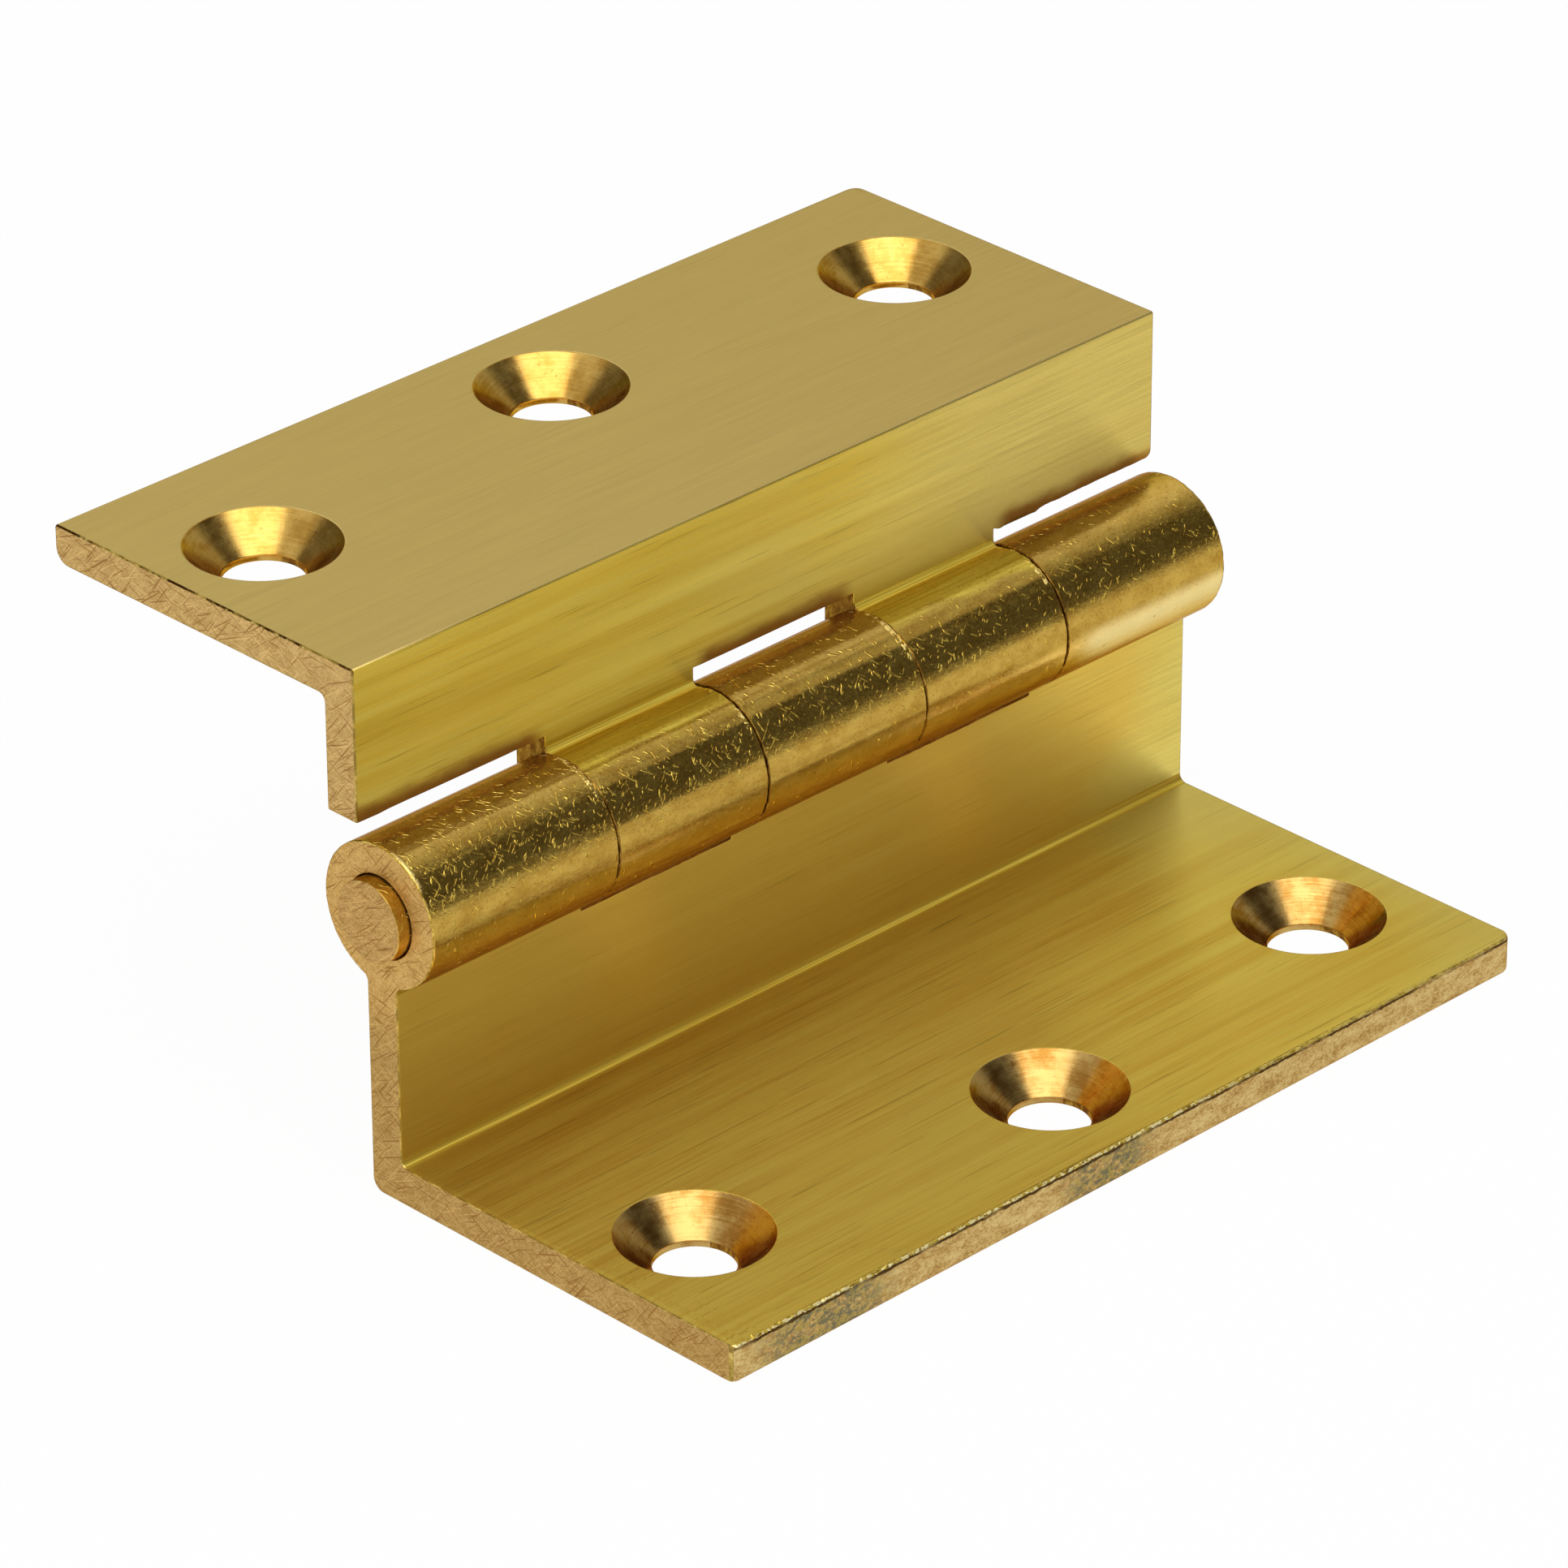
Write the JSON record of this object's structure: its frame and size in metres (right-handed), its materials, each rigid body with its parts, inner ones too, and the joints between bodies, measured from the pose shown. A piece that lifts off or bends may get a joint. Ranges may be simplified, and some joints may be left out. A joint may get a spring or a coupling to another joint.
{
  "type": "stormproof butt hinge",
  "caption": "Cranked solid brass butt hinge for a lipped casement window: two countersunk leaves with stepped flanges and interleaved knuckles on a plain pin.",
  "frame": {"origin": "on the frame leaf's seating face, midway between the centres of its two outer screw holes", "axes": "+X from the pin across the frame leaf to its free edge, +Y along the pin to its far end, +Z away from the window frame"},
  "size_m": [0.0547, 0.0649, 0.0329],
  "materials": {
    "leaf_brass": "drawn and sawn, satin",
    "pin_brass": "drawn, sawn ends"
  },
  "bodies": {
    "frame": {"frame_leaf": "leaf_brass", "hinge_pin": "pin_brass"},
    "casement": {"casement_leaf": "leaf_brass"}
  },
  "joints": [
    {"name": "pin_hinge", "type": "hinge", "parent": "frame", "child": "casement", "pos_m": [-0.0179, 0, 0.0181], "axis": [0, 1, 0], "range_deg": [-108, 180]}
  ]
}
